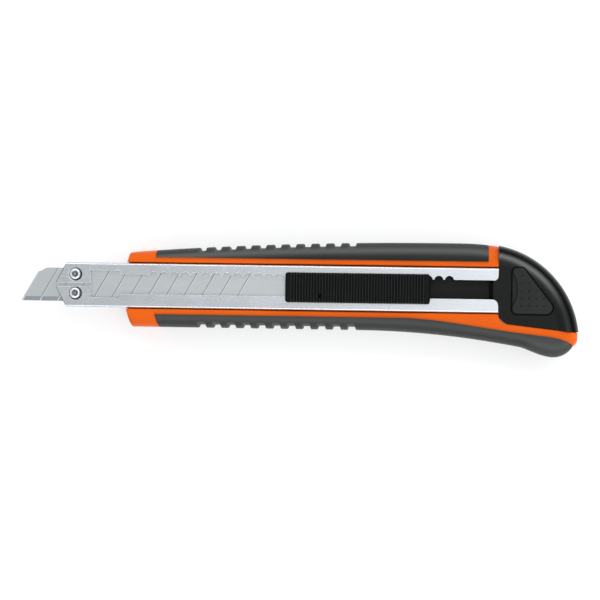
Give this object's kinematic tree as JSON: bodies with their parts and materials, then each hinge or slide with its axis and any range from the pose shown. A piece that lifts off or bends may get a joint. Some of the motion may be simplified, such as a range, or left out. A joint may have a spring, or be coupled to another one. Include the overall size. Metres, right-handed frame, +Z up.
{
  "type": "utility knife",
  "caption": "Slim snap-off utility knife: steel channel in a soft-grip handle, locking thumb slider, and an end cap with a tray of spare blades.",
  "frame": {"origin": "on the flat back of the handle, under the channel's centre line, 47 mm behind the handle's front end", "axes": "+X along the knife from the blade's tip to the end cap, +Y across the handle towards its back edge, +Z up from the flat back to the thumb slider"},
  "size_m": [0.1505, 0.0303, 0.0134],
  "materials": {
    "orange_plastic": "moulded ABS, satin orange",
    "grip_rubber": "soft-touch TPE, dark grey",
    "channel_steel": "folded stainless strip, fine-brushed",
    "spring_steel": "spring steel, tumbled",
    "guide_plastic": "moulded nylon, grey",
    "rivet_metal": "nickel-plated steel",
    "blade_steel": "ground carbon steel, oiled",
    "black_plastic": "moulded ABS, black, fine spark texture",
    "cap_plastic": "moulded ABS, near-black, satin"
  },
  "bodies": {
    "handle": {"handle_core": "orange_plastic", "upper_grip": "grip_rubber", "lower_grip": "grip_rubber", "blade_channel": "channel_steel", "upper_nose_plate": "spring_steel", "lower_nose_plate": "spring_steel", "nose_guide": "guide_plastic", "nose_rivets": "rivet_metal", "channel_screw": "rivet_metal"},
    "slider": {"thumb_slider": "black_plastic", "blade_carrier": "black_plastic", "carrier_pin": "rivet_metal", "lock_spring": "spring_steel", "snap_blade": "blade_steel"},
    "cap": {"end_cap": "cap_plastic", "magazine_tray": "black_plastic", "spare_blade_1": "blade_steel", "spare_blade_2": "blade_steel", "spare_blade_3": "blade_steel", "blade_clip": "spring_steel", "latch_spring": "spring_steel"},
    "button": {"release_button": "cap_plastic"}
  },
  "joints": [
    {"name": "slider_slide", "type": "slide", "parent": "handle", "child": "slider", "axis": [1, 0, 0], "range_m": [-0.0513, 0.01425], "deforming": ["lock_spring"]},
    {"name": "cap_slide", "type": "slide", "parent": "handle", "child": "cap", "axis": [1, 0, 0], "range_m": [0, 0.06]},
    {"name": "button_press", "type": "slide", "parent": "cap", "child": "button", "axis": [0, 0, -1], "range_m": [0, 0.0012], "stiffness_N_per_m": 2000, "deforming": ["latch_spring"]}
  ]
}
